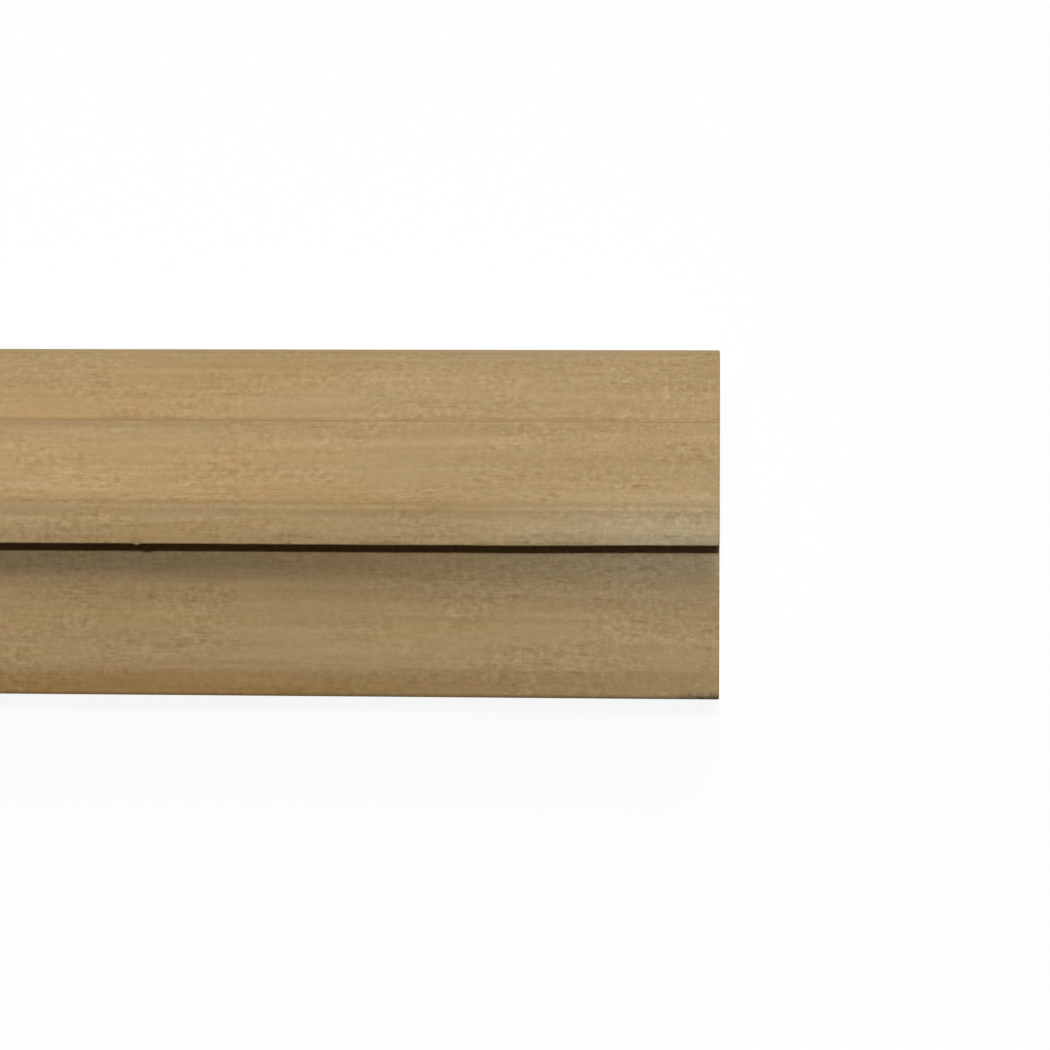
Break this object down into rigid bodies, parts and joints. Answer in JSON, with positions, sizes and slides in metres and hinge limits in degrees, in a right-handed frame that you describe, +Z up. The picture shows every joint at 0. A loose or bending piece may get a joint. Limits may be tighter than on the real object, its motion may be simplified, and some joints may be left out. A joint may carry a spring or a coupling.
{
  "type": "back band moulding",
  "caption": "Straight length of hardwood moulding with a rounded bead, a cove and a thin nosed lip over a long rabbet that laps the outer edge of a door or window casing.",
  "frame": {"origin": "middle of the footprint of the moulding's box, on the plane of the long plain edge that it lies on", "axes": "+X along the length, +Y across the profile from the wall face to the crown of the bead, +Z up from the plain edge to the nose of the lip"},
  "size_m": [2.4384, 0.0278, 0.019],
  "materials": {
    "hardwood": "raw, planed and lightly sanded"
  },
  "bodies": {
    "root": {"back_band": "hardwood"}
  },
  "joints": []
}
